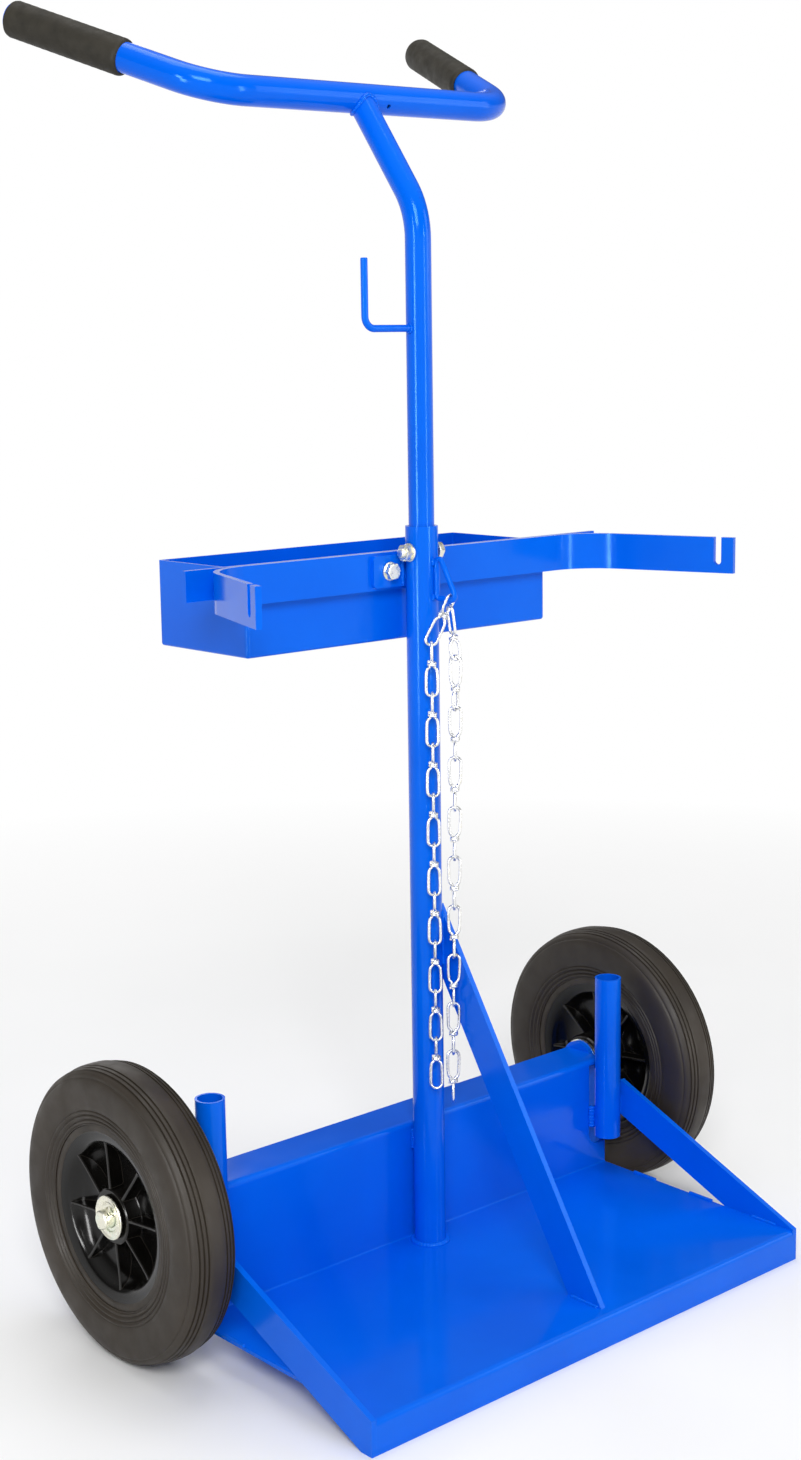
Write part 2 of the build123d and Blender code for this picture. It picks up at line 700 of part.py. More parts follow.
groups = {
    "chain_top_link": left_knots[:1],
    "chain_left_upper": left_knots[1:4],
    "chain_left_middle": left_knots[4:7],
    "chain_left_lower": left_knots[7:],
    "chain_right_upper": right_knots[:3],
    "chain_right_middle": right_knots[3:6],
    "chain_right_lower": right_knots[6:],
}
for name, knots in groups.items():
    with BuildPart() as links:
        strand(knots)
    links.part.label = name
    export_step(links.part, f"parts/{name}.step")

# Where the groups hang from each other: the hinge centres of each strand
for name, wires in (("left", left_wires), ("right", right_wires)):
    for k in range(strand_links):
        if wires[k]:
            print(name, k + 1, "top wire centre", [round(v, 3) for v in tuple(wires[k])])
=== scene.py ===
"""Oxy acetylene torch cart: materials, detailed pieces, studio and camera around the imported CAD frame."""
import json
from math import cos, pi, radians, sin, sqrt

import bmesh
import bpy
from mathutils import Matrix, Vector


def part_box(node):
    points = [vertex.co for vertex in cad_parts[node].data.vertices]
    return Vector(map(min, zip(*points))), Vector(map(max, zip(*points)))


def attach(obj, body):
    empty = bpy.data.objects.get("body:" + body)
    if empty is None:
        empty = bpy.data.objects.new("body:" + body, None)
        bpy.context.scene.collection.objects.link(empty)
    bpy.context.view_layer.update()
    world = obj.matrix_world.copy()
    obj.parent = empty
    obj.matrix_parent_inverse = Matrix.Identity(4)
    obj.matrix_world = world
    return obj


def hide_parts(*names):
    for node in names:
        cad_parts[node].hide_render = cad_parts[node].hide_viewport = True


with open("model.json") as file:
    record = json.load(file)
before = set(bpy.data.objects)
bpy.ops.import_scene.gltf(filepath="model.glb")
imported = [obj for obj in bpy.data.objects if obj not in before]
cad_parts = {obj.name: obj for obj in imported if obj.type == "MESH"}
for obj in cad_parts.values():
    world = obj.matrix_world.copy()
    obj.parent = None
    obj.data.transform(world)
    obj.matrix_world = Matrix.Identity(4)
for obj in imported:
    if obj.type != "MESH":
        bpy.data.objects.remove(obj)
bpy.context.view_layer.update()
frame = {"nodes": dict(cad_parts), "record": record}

# Sizes are in millimetres and angles in degrees, unless a comment says otherwise.
MM = 0.001
SIDES = (("left", -1), ("right", 1))
UP = Vector((0, 0, 1))

RIB_COUNT = 8
RIB_TURN = 38.5
RIB_REACH = 15.4
HUB_HALF = 16.0
FLANGE_INNER_R = 71.4
FLANGE_FACE = 15.5

GRIP_R = 15.3
BAR_R = 12.5
BAR_Y, BAR_Z = 47.1, 1027.9
BAR_TILT, BAR_ROLL = radians(21.7), radians(0.65)
BAR_SWEEP = {"left": 69.2, "right": 72.6}
STEM_R = 11
STEM_Y = -24.6
STEM_BEND_Z = 932

BOLT_ACROSS = 13
BOLT_R = 4.0
WASHER_T = 1.6
THREAD_STEP = 0.625

PANEL_FACE_Y = -6.5
BRACE_X = 12

WIRE_R = 1.25
WRAP_R = 2.75
OVAL = (28.0, 4.9)
LOOP = (18.5, 4.25)
STRAND_TURN = -41.3


# ---------------------------------------------------------------- materials
class Look:
    """A node material being built: one Principled surface and short helpers that add nodes to it."""

    def __init__(self, name, **values):
        self.material = bpy.data.materials.new(name)
        self.material.use_nodes = True
        self.nodes = self.material.node_tree.nodes
        self.surface = self.nodes["Principled BSDF"]
        for socket, value in values.items():
            self.surface.inputs[socket.replace("_", " ")].default_value = value
        self.coords = self.nodes.new("ShaderNodeTexCoord").outputs["Object"]

    def join(self, source, target):
        self.material.node_tree.links.new(source, target)

    def noise(self, scale, detail=3.0, stretch=None):
        """Grey noise between 0 and 1, with the given number of features per metre."""
        node = self.nodes.new("ShaderNodeTexNoise")
        node.inputs["Scale"].default_value = scale
        node.inputs["Detail"].default_value = detail
        coords = self.coords
        if stretch:
            mapping = self.nodes.new("ShaderNodeMapping")
            mapping.inputs["Scale"].default_value = stretch
            self.join(coords, mapping.inputs["Vector"])
            coords = mapping.outputs["Vector"]
        self.join(coords, node.inputs["Vector"])
        return node.outputs["Fac"]

    def span(self, fac, low, high, start=0.3, end=0.7):
        """Maps a grey value onto a range of numbers."""
        node = self.nodes.new("ShaderNodeMapRange")
        for socket, value in (("From Min", start), ("From Max", end), ("To Min", low), ("To Max", high)):
            node.inputs[socket].default_value = value
        self.join(fac, node.inputs["Value"])
        return node.outputs["Result"]

    def ramp(self, fac, *stops):
        """Colour ramp through (position, (r, g, b)) stops."""
        node = self.nodes.new("ShaderNodeValToRGB")
        elements = node.color_ramp.elements
        while len(elements) < len(stops):
            elements.new(0.5)
        for element, (position, colour) in zip(elements, stops):
            element.position = position
            element.color = (*colour, 1)
        self.join(fac, node.inputs["Fac"])
        return node.outputs["Color"]

    def mix(self, fac, first, second):
        """Blends two colours by a grey value."""
        node = self.nodes.new("ShaderNodeMix")
        node.data_type = "RGBA"
        self.join(fac, node.inputs[0])
        for source, target in ((first, node.inputs[6]), (second, node.inputs[7])):
            if isinstance(source, tuple):
                target.default_value = (*source, 1)
            else:
                self.join(source, target)
        return node.outputs[2]

    def edges(self, radius):
        """Grey mask that is bright on convex and concave edges, for a radius in metres."""
        rounded = self.nodes.new("ShaderNodeBevel")
        rounded.samples = 4
        rounded.inputs["Radius"].default_value = radius
        plain = self.nodes.new("ShaderNodeNewGeometry")
        dot = self.nodes.new("ShaderNodeVectorMath")
        dot.operation = "DOT_PRODUCT"
        self.join(rounded.outputs["Normal"], dot.inputs[0])
        self.join(plain.outputs["Normal"], dot.inputs[1])
        return self.span(dot.outputs["Value"], 0.0, 1.0, 0.99, 0.75)

    def bump(self, *layers):
        """Stacks (height, strength, distance in metres) bump layers onto the surface normal."""
        normal = None
        for height, strength, distance in layers:
            node = self.nodes.new("ShaderNodeBump")
            node.inputs["Strength"].default_value = strength
            node.inputs["Distance"].default_value = distance
            self.join(height, node.inputs["Height"])
            if normal:
                self.join(normal, node.inputs["Normal"])
            normal = node.outputs["Normal"]
        self.join(normal, self.surface.inputs["Normal"])

    def fade_out(self, near, far):
        """Turns the surface plain even white between two distances, in metres, from its middle."""
        length = self.nodes.new("ShaderNodeVectorMath")
        length.operation = "LENGTH"
        self.join(self.coords, length.inputs[0])
        glow = self.nodes.new("ShaderNodeEmission")
        glow.inputs["Color"].default_value = (1, 1, 1, 1)
        glow.inputs["Strength"].default_value = 1.0
        blend = self.nodes.new("ShaderNodeMixShader")
        self.join(self.span(length.outputs["Value"], 0.0, 1.0, near, far), blend.inputs[0])
        self.join(self.surface.outputs["BSDF"], blend.inputs[1])
        self.join(glow.outputs["Emission"], blend.inputs[2])
        self.join(blend.outputs["Shader"], self.nodes["Material Output"].inputs["Surface"])

    def colour(self, source):
        self.join(source, self.surface.inputs["Base Color"])

    def roughness(self, source):
        self.join(source, self.surface.inputs["Roughness"])


def powder_coat():
    look = Look("blue_powder_coat", IOR=1.4, Specular_Tint=(0.24, 0.62, 1.0, 1.0))
    tone = look.ramp(look.noise(9, 4), (0.35, (0.0, 0.108, 0.72)), (0.65, (0.0, 0.126, 0.78)))
    # The lighter blue mixed in on edges and creases is a painted edge highlight.
    painted_edge_highlight = look.ramp(look.noise(160, 5), (0.45, (0.0, 0.13, 0.78)), (0.75, (0.02, 0.18, 0.86)))
    look.colour(look.mix(look.edges(0.0007), tone, painted_edge_highlight))
    look.roughness(look.span(look.noise(35, 5), 0.10, 0.18))
    look.bump((look.noise(14, 2), 0.25, 0.0008), (look.noise(420, 2), 0.12, 0.00015))
    return look.material


def zinc_plate():
    look = Look("yellow_zinc_plate", Metallic=1.0)
    film = look.ramp(look.noise(75, 4), (0.32, (0.74, 0.73, 0.66)), (0.5, (0.90, 0.88, 0.74)),
                     (0.62, (0.82, 0.87, 0.76)), (0.75, (0.92, 0.84, 0.74)))
    # The lighter, less yellow colour mixed in on edges is a painted edge highlight.
    look.colour(look.mix(look.edges(0.0004), film, (0.9, 0.88, 0.78)))
    look.roughness(look.span(look.noise(260, 6), 0.2, 0.42))
    look.bump((look.noise(900, 4, (1, 1, 0.2)), 0.15, 0.0001))
    return look.material


def bright_zinc():
    look = Look("bright_zinc_wire", Metallic=1.0)
    film = look.ramp(look.noise(120, 4), (0.3, (0.62, 0.63, 0.64)), (0.55, (0.86, 0.86, 0.84)),
                     (0.75, (0.78, 0.76, 0.68)))
    look.colour(film)
    look.roughness(look.span(look.noise(500, 5), 0.16, 0.36))
    look.bump((look.noise(1400, 3), 0.2, 0.0001))
    return look.material


def tyre_rubber():
    look = Look("tyre_rubber", Specular_IOR_Level=0.36)
    fresh = look.ramp(look.noise(28, 6), (0.3, (0.021, 0.015, 0.010)), (0.7, (0.033, 0.025, 0.017)))
    dusty = look.ramp(look.noise(6, 3), (0.42, (0.022, 0.017, 0.012)), (0.7, (0.054, 0.041, 0.028)))
    look.colour(look.mix(look.span(look.noise(11, 5), 0.0, 0.8), fresh, dusty))
    look.roughness(look.span(look.noise(60, 6), 0.42, 0.62))
    look.bump((look.noise(90, 5), 0.15, 0.0004), (look.noise(1500, 3), 0.25, 0.00012))
    return look.material


def rim_plastic():
    look = Look("black_rim_moulding", Specular_IOR_Level=0.32)
    tone = look.ramp(look.noise(40, 4), (0.35, (0.002, 0.0018, 0.0015)),
                     (0.7, (0.004, 0.0035, 0.003)))
    # The lighter colour mixed in on edges and creases is a painted edge highlight.
    look.colour(look.mix(look.edges(0.0008), tone, (0.028, 0.024, 0.02)))
    look.roughness(look.span(look.noise(45, 5), 0.13, 0.22))
    look.bump((look.noise(700, 3), 0.12, 0.0001), (look.noise(30, 2), 0.2, 0.0004))
    return look.material


def satin_plastic():
    look = Look("satin_rim_flange", Specular_IOR_Level=0.32)
    tone = look.ramp(look.noise(60, 5), (0.3, (0.021, 0.016, 0.011)), (0.7, (0.038, 0.029, 0.021)))
    # The lighter colour mixed in on edges is a painted edge highlight.
    look.colour(look.mix(look.edges(0.0006), tone, (0.055, 0.043, 0.032)))
    look.roughness(look.span(look.noise(70, 5), 0.38, 0.55))
    look.bump((look.noise(700, 3), 0.15, 0.0001))
    return look.material


def grip_rubber():
    look = Look("grip_rubber", Specular_IOR_Level=0.24)
    look.colour(look.ramp(look.noise(70, 6), (0.3, (0.017, 0.015, 0.010)),
                          (0.7, (0.032, 0.028, 0.020))))
    look.roughness(look.span(look.noise(120, 5), 0.5, 0.72))
    look.bump((look.noise(650, 5), 0.5, 0.0004), (look.noise(2400, 3), 0.3, 0.0001))
    return look.material


def nylon():
    look = Look("bush_nylon", Specular_IOR_Level=0.4)
    look.colour(look.ramp(look.noise(90, 4), (0.35, (0.52, 0.50, 0.45)), (0.7, (0.64, 0.62, 0.56))))
    look.roughness(look.span(look.noise(200, 4), 0.4, 0.6))
    look.bump((look.noise(1200, 3), 0.2, 0.0001))
    return look.material


MATERIALS = {
    "frame_paint": powder_coat(),
    "zinc_fasteners": zinc_plate(),
    "chain_zinc": bright_zinc(),
    "tyre_rubber": tyre_rubber(),
    "rim_plastic": rim_plastic(),
    "grip_rubber": grip_rubber(),
    "bush_plastic": nylon(),
}
SATIN = satin_plastic()
NODE_SLOT = {part["node"]: part["material_slot"] for part in frame["record"]["subparts"]}


def dress_cad_nodes():
    """Gives each CAD node its material, and a small real radius on the folded and cut steel edges."""
    crisp = ("base_plate", "left_stay", "right_stay", "centre_brace", "retaining_arm", "hanger_bar",
             "tool_tray", "mast_tab", "left_axle_bracket", "right_axle_bracket")
    for name, node in frame["nodes"].items():
        for slot in node.material_slots:
            slot.material = MATERIALS[NODE_SLOT[name]]
        if name in crisp:
            bevel = node.modifiers.new("edge_radius", "BEVEL")
            bevel.width = 0.6 * MM
            bevel.segments = 2
            bevel.limit_method = "ANGLE"
            bevel.angle_limit = radians(40)
            bevel.harden_normals = True


# ---------------------------------------------------------------- mesh helpers
class Shape:
    """Vertices and faces gathered from sweeps and lathes, in metres, turned into one smooth piece."""

    def __init__(self):
        self.points = []
        self.faces = []

    def grid(self, rings, close_rings=False, caps=True):
        """Joins equal closed rings of points into a skin, with flat ends or joined end to end."""
        start = len(self.points)
        count = len(rings[0])
        for ring in rings:
            self.points.extend(ring)
        pairs = len(rings) if close_rings else len(rings) - 1
        for i in range(pairs):
            a = start + i * count
            b = start + ((i + 1) % len(rings)) * count
            for j in range(count):
                k = (j + 1) % count
                self.faces.append((a + j, a + k, b + k, b + j))
        if caps and not close_rings:
            last = start + (len(rings) - 1) * count
            self.faces.append(tuple(start + j for j in reversed(range(count))))
            self.faces.append(tuple(last + j for j in range(count)))

    def sweep(self, path, radius, sides=12, closed=False):
        """Round bar along a path; radius is a number, or a function of the share of the way along."""
        frames = carried_frames(path, closed)
        rings = []
        for i, (point, across, along_up) in enumerate(frames):
            r = radius(i / (len(frames) - 1)) if callable(radius) else radius
            rings.append([point + (across * cos(t) + along_up * sin(t)) * r
                          for t in (2 * pi * k / sides for k in range(sides))])
        self.grid(rings, close_rings=closed)

    def lathe(self, profile, origin, axis, segments=96, unit=1.0):
        """Turns a list of (distance along the axis, radius) about an axis."""
        axis = Vector(axis).normalized()
        side = axis.orthogonal().normalized()
        other = axis.cross(side)
        rings = []
        for k in range(segments):
            t = 2 * pi * k / segments
            out = side * cos(t) + other * sin(t)
            rings.append([Vector(origin) + (axis * x + out * r) * unit for x, r in profile])
        self.grid(rings, close_rings=True)

    def piece(self, name, slot, body, *replaced, sharp=40):
        """Makes the object, rides it on its body and hides the CAD nodes it stands for."""
        mesh = bpy.data.meshes.new(name)
        mesh.from_pydata([tuple(p) for p in self.points], [], self.faces)
        mesh.validate()
        obj = bpy.data.objects.new(name, mesh)
        bpy.context.scene.collection.objects.link(obj)
        mesh.materials.append(MATERIALS[slot])
        tidy_normals(mesh)
        mesh.shade_smooth()
        mesh.set_sharp_from_angle(angle=radians(sharp))
        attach(obj, body)
        if replaced:
            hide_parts(*replaced)
        return obj


def tidy_normals(mesh):
    """Points every face outwards."""
    work = bmesh.new()
    work.from_mesh(mesh)
    bmesh.ops.recalc_face_normals(work, faces=work.faces)
    work.to_mesh(mesh)
    work.free()


def carried_frames(path, closed=False):
    """Points of a path with two directions across it that turn as little as possible."""
    count = len(path)
    tangents = []
    for i in range(count):
        before = path[i - 1] if i or closed else path[i]
        after = path[(i + 1) % count] if i < count - 1 or closed else path[i]
        tangents.append((after - before).normalized())
    across = tangents[0].orthogonal().normalized()
    frames = []
    for point, tangent in zip(path, tangents):
        across = (across - tangent * across.dot(tangent)).normalized()
        frames.append((point, across, tangent.cross(across)))
    return frames


def smooth_path(corners, steps=6):
    """Dense points on a smooth curve through the given corners."""
    ends = [corners[0] * 2 - corners[1]] + corners + [corners[-1] * 2 - corners[-2]]
    points = []
    for a, b, c, d in zip(ends, ends[1:], ends[2:], ends[3:]):
        for k in range(steps):
            t = k / steps
            points.append(0.5 * (2 * b + (c - a) * t + (2 * a - 5 * b + 4 * c - d) * t**2
                                 + (3 * b - a - 3 * c + d) * t**3))
    return points + [corners[-1]]


def arc(centre, first, second, radius, start, end, steps):
    """Points on a circular arc in the plane of two directions; angles in degrees."""
    angles = [radians(start + (end - start) * k / steps) for k in range(steps + 1)]
    return [centre + (first * cos(t) + second * sin(t)) * radius for t in angles]


# ---------------------------------------------------------------- wheels
def tyre_profile(edge):
    """Closed section of one tyre as (distance from the wheel's middle, radius) in metres.

    Each side has three raised rings by the rim and a step at the shoulder; the tread has six grooves
    and a slightly crowned top that ends at the given radius in millimetres.
    """
    seat_half, seat_r = 19.5, 77.6
    half = [(seat_half - 0.4, seat_r), (seat_half + 0.6, seat_r), (seat_half + 0.9, seat_r + 0.8)]
    for r in (80.2, 84.2, 88.2):
        bulge = 21.0 + (r - 80) * 0.22
        half += [(bulge - 0.9, r - 1.5), (bulge + 0.1, r - 0.9), (bulge + 0.35, r),
                 (bulge + 0.1, r + 0.9), (bulge - 0.6, r + 1.5)]
    half += [(23.0, 91.2), (23.5, 94), (23.9, 98), (24.0, 103), (23.8, 108), (23.3, 112), (22.4, 115),
             (21.7, 116.2), (20.9, 116.6), (20.9, 117.6), (19.9, 119.4), (18.4, 121.0), (17.4, 121.6)]
    for x in (16.4, 12.6, 8.8):
        crown = edge - 0.010 * x * x
        half += [(x + 0.9, crown - 0.35), (x + 0.55, crown - 1.5), (x - 0.55, crown - 1.5),
                 (x - 0.9, crown - 0.1)]
    half += [(6.0, edge - 0.2), (3.0, edge - 0.05), (0.0, edge)]
    mirrored = [(-x, r) for x, r in reversed(half[:-1])]
    return [(x * MM, r * MM) for x, r in half + mirrored]


def rim_profile():
    """Half section of the rim: hub, middle web, deep dish and broad flange."""
    return [(0.0, 12.05), (HUB_HALF, 12.05), (HUB_HALF, 22.2), (15.2, 23.3), (14.2, 23.6), (4.2, 24.4),
            (3.0, 25.2), (2.5, 26.6), (2.4, 38), (2.8, 44), (4.0, 49.5), (6.2, 54), (9.2, 57.4), (12.6, 60),
            (15.4, 62), (16.8, 64.2), (17.8, 67.4), (18.5, 70.2), (18.7, 71.3), (19.2, 71.9), (19.5, 72.8),
            (19.5, 76.6), (19.3, 77.3), (18.9, 77.6), (12.0, 77.6), (0.0, 77.6)]


def wheel(side, sign):
    """Tyre and rim for one side; the rim has ribs, a hub, a small pip in each pocket and a satin flange."""
    low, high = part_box(f"{side}_tyre")
    hub_low, hub_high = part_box(f"{side}_wheel_bush")
    centre = (Vector(low) + Vector(high)) / 2
    radius = (high[2] - low[2]) / 2 / MM
    axis = Vector((sign, 0, 0))
    tyre = Shape()
    tyre.lathe(tyre_profile(radius), centre, axis, 160)
    tyre.piece(f"{side}_tyre_moulded", "tyre_rubber", f"{side}_wheel", f"{side}_tyre", sharp=50)

    hub_out = (max(abs(hub_low[0]), abs(hub_high[0])) - abs(centre.x)) / MM
    hub_in = (abs(centre.x) - min(abs(hub_low[0]), abs(hub_high[0]))) / MM
    outer = rim_profile()
    inner = [(-x, r) for x, r in reversed(outer)][1:-1]
    section = []
    for x, r in outer + inner:
        reach = hub_out if x > 0 else hub_in
        on_hub_face = abs(x) > 13 and r < 24
        section.append((x * (reach / HUB_HALF if on_hub_face else 1.0) * MM, r * MM))
    rim = Shape()
    rim.lathe(section, centre, axis, 128)
    for face, reach in ((1, hub_out), (-1, hub_in)):
        for k in range(RIB_COUNT):
            turn = radians(360 / RIB_COUNT * k + RIB_TURN)
            out = Vector((0, cos(turn), sin(turn)))
            add_rib(rim, centre, axis * face, out, min(reach - 0.8, RIB_REACH))
            between = Vector((0, cos(turn + 0.39), sin(turn + 0.39)))
            pip = centre + (axis * face * 2.3 + between * 50) * MM
            rim.lathe([(0, 0.05), (0, 1.6), (0.5, 1.5), (0.8, 1.1), (0.85, 0.05)], pip, axis * face, 16, MM)
    moulded = rim.piece(f"{side}_rim_moulded", "rim_plastic", f"{side}_wheel", f"{side}_rim", sharp=35)
    moulded.data.materials.append(SATIN)
    for face in moulded.data.polygons:
        offset = face.center - centre
        radial = sqrt(offset.y**2 + offset.z**2)
        if radial > FLANGE_INNER_R * MM and abs(offset.x) > FLANGE_FACE * MM:
            face.material_index = 1


def add_rib(shape, centre, outward, out, hub_reach):
    """One thin radial rib standing on the web, from the hub to the dish wall, drawn in at its free edge."""
    sideways = outward.cross(out)
    rings = []
    for r, height in ((22.5, hub_reach), (25, hub_reach), (36, 15.0), (48, 14.8), (56, 14.9),
                      (60, 15.2), (62.6, 15.5)):
        half = 1.4 if 30 < r < 57 else 1.7
        ring = []
        for x, w in ((1.5, 1.25), (3.2, 1.05), (height - 0.7, 0.9), (height, 0.5),
                     (height, -0.5), (height - 0.7, -0.9), (3.2, -1.05), (1.5, -1.25)):
            ring.append(centre + out * r * MM + outward * x * MM + sideways * w * half * MM)
        rings.append(ring)
    shape.grid(rings)


def axle_line(x):
    """The point on the axle's centre line at a given x, in metres."""
    low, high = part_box("axle")
    return Vector((x, (low[1] + high[1]) / 2, (low[2] + high[2]) / 2))


def split_pin(side):
    """Folded wire pin through the axle end: an eye at one side and two spread legs at the other."""
    low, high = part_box(f"{side}_split_pin")
    middle = axle_line((low[0] + high[0]) / 2)
    down = Vector((0, 1, -1)).normalized()
    over = Vector((0, 1, 1)).normalized()

    def at(along, across):
        return middle + down * along * MM + over * across * MM

    eye = arc(at(11.8, 0), down, over, 2.5 * MM, 150, -150, 18)
    leg_in = [at(-13.4, 4.2), at(-11.2, 2.2), at(-9.2, 0.95), at(-8, 0.75), at(0, 0.75), at(8, 0.75)]
    leg_out = [at(8, -0.75), at(0, -0.75), at(-8, -0.75), at(-9.3, -1.0), at(-11.6, -2.4), at(-14.0, -5.2)]
    pin = Shape()
    pin.sweep(smooth_path(leg_in + eye[1:-1:4] + leg_out, 5), 0.78 * MM, 10)
    pin.piece(f"{side}_split_pin_wire", "zinc_fasteners", "frame", f"{side}_split_pin")


def outer_washer(side, sign):
    """Dished washer with a rolled rim and a pressed inner ring."""
    low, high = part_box(f"{side}_outer_washer")
    face = min(abs(low[0]), abs(high[0]))
    r = (high[2] - low[2]) / 2 / MM
    profile = [(0.0, 8.4), (0.0, 12.0), (0.3, r - 3.5), (0.7, r - 1.2), (1.6, r - 0.1), (2.6, r),
               (3.0, r - 0.5), (2.9, r - 1.1), (2.1, r - 2.2), (1.75, r - 4.2), (1.9, 13.4), (2.5, 12.9),
               (2.6, 12.2), (2.1, 11.6), (1.6, 11.0), (1.6, 8.9), (1.3, 8.4)]
    washer = Shape()
    washer.lathe([(x * MM, q * MM) for x, q in profile], axle_line(sign * face), (sign, 0, 0), 96)
    washer.piece(f"{side}_dished_washer", "zinc_fasteners", "frame", f"{side}_outer_washer", sharp=30)


# ---------------------------------------------------------------- grips
def handle_direction(across, back):
    """A direction in the plane of the tilted handlebar."""
    level, climb = cos(BAR_TILT) * back, sin(BAR_TILT) * back
    return Vector((across * cos(BAR_ROLL) - climb * sin(BAR_ROLL), level,
                   across * sin(BAR_ROLL) + climb * cos(BAR_ROLL)))


def grip(side, sign):
    """Moulded sleeve on the handlebar end, with a rolled collar, faint bands and a domed end."""
    low, high = (Vector(v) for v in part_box(f"{side}_grip"))
    sweep = radians(BAR_SWEEP[side])
    ahead = handle_direction(sign * cos(sweep), sin(sweep))
    r = GRIP_R
    spread = [sqrt(max(0.0, 1 - c * c)) * r * MM for c in ahead]
    tip = Vector((high.x - spread[0] if sign > 0 else low.x + spread[0],
                  high.y - spread[1], high.z - spread[2]))
    profile = [(0.0, 0.6), (-0.1, 7.0), (-0.5, 10.5), (-1.4, 13.2), (-2.8, 14.7), (-5.0, r)]
    for k in range(1, 26):
        profile.append((-5.0 - 4.2 * k, r - (0.14 if k % 2 else 0.0)))
    profile += [(-112.0, r), (-113.5, r - 0.1), (-115.2, r - 0.5), (-116.4, r - 1.4), (-116.9, 12.62),
                (-60, BAR_R + 0.05), (-3.2, BAR_R), (-3.1, 0.6)]
    sleeve = Shape()
    sleeve.lathe([(x * MM, q * MM) for x, q in profile], tip, ahead, 64)
    sleeve.piece(f"{side}_grip_sleeve", "grip_rubber", "frame", f"{side}_grip", sharp=50)


# ---------------------------------------------------------------- bolts, nuts and washers
def hex_rings(origin, axis, flats, height, both):
    """Rings of a hexagon, measured across flats, with its corners turned off at one end or both."""
    side = axis.orthogonal().normalized()
    if abs(axis.z) < 0.5:
        side = (UP - axis * axis.dot(UP)).normalized()
    other = axis.cross(side)

    def ring(x, limit):
        points = []
        for k in range(48):
            t = 2 * pi * k / 48
            off = (t + pi / 6) % (pi / 3) - pi / 6
            r = min(flats / 2 / cos(off), limit)
            points.append(origin + axis * x * MM + (side * cos(t) + other * sin(t)) * r * MM)
        return points

    corner = flats / 2 / cos(pi / 6)
    first = [ring(0, flats / 2 * 0.96), ring(0.9, corner)] if both else [ring(0, corner)]
    return first + [ring(height - 0.9, corner), ring(height - 0.35, (corner + flats / 2) / 2),
                    ring(height, flats / 2 * 0.95)]


def bolt_set(name, axis):
    """Detailed head, shank end with thread ridges, nut and washers for one M8 bolt."""
    axis = Vector(axis)
    boxes = {part: [Vector(v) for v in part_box(f"{name}_{part}")] for part in ("bolt", "nut", "washers")}
    middle = (boxes["nut"][0] + boxes["nut"][1]) / 2

    def reach(part, way):
        return max(v.dot(axis * way) for v in boxes[part])

    line = middle - axis * middle.dot(axis)
    head_top = reach("bolt", 1)
    head_base = reach("washers", 1)
    shank_end = -reach("bolt", -1)
    nut_out = -reach("nut", -1)
    nut_in = -reach("washers", -1)

    bolt = Shape()
    bolt.grid(hex_rings(line + axis * head_base, axis, BOLT_ACROSS, (head_top - head_base) / MM, False))
    thread = []
    for k in range(int((head_base - shank_end) / (THREAD_STEP * MM)) - 1):
        thread.append((-THREAD_STEP * (k + 1), BOLT_R if k % 2 else 3.55))
    end = (shank_end - head_base) / MM
    profile = [(0.0, 0.3), (0.0, 3.9)] + thread + [(end + 0.7, 3.9), (end, 3.1), (end, 0.3)]
    bolt.lathe([(x * MM, r * MM) for x, r in profile], line + axis * head_base, axis, 40)
    bolt.piece(f"{name}_bolt_threaded", "zinc_fasteners", "frame", f"{name}_bolt", sharp=28)

    nut = Shape()
    start = line + axis * nut_in
    nut.grid(hex_rings(start, -axis, BOLT_ACROSS, (nut_in - nut_out) / MM, True))
    nut.piece(f"{name}_nut_chamfered", "zinc_fasteners", "frame", f"{name}_nut", sharp=28)

    washers = Shape()
    section = [(0.0, 4.2), (0.0, 7.6), (0.25, 7.95), (0.8, 8.0), (1.35, 7.95), (WASHER_T, 7.6),
               (WASHER_T, 4.2)]
    section = [(x * MM, r * MM) for x, r in section]
    washers.lathe(section, line + axis * (head_base - WASHER_T * MM), axis, 64)
    washers.lathe(section, line + axis * nut_in, axis, 64)
    washers.piece(f"{name}_washers_turned", "zinc_fasteners", "frame", f"{name}_washers", sharp=35)


# ---------------------------------------------------------------- weld beads
def ripple(shape, path, radius, closed=False, pitch=2.2):
    """Adds a weld bead: a bar along a path in metres, whose surface swells in overlapping drops."""
    lengths = [0.0]
    for a, b in zip(path, path[1:]):
        lengths.append(lengths[-1] + (b - a).length)
    total = lengths[-1]
    steps = max(8, int(total / MM / pitch * 6))
    dense = []
    for k in range(steps + (0 if closed else 1)):
        want = total * k / steps
        i = max(j for j in range(len(lengths)) if lengths[j] <= want + 1e-12)
        i = min(i, len(path) - 2)
        share = (want - lengths[i]) / max(lengths[i + 1] - lengths[i], 1e-9)
        dense.append(path[i].lerp(path[i + 1], share))

    def swell(t):
        drop = (t * total / MM / pitch) % 1.0
        end = 1.0 if closed else min(1.0, 0.35 + 4 * sqrt(max(0.0, min(t, 1 - t))))
        return radius * MM * end * (0.9 + 0.16 * sin(pi * drop))

    shape.sweep(dense, swell, 12, closed=closed)


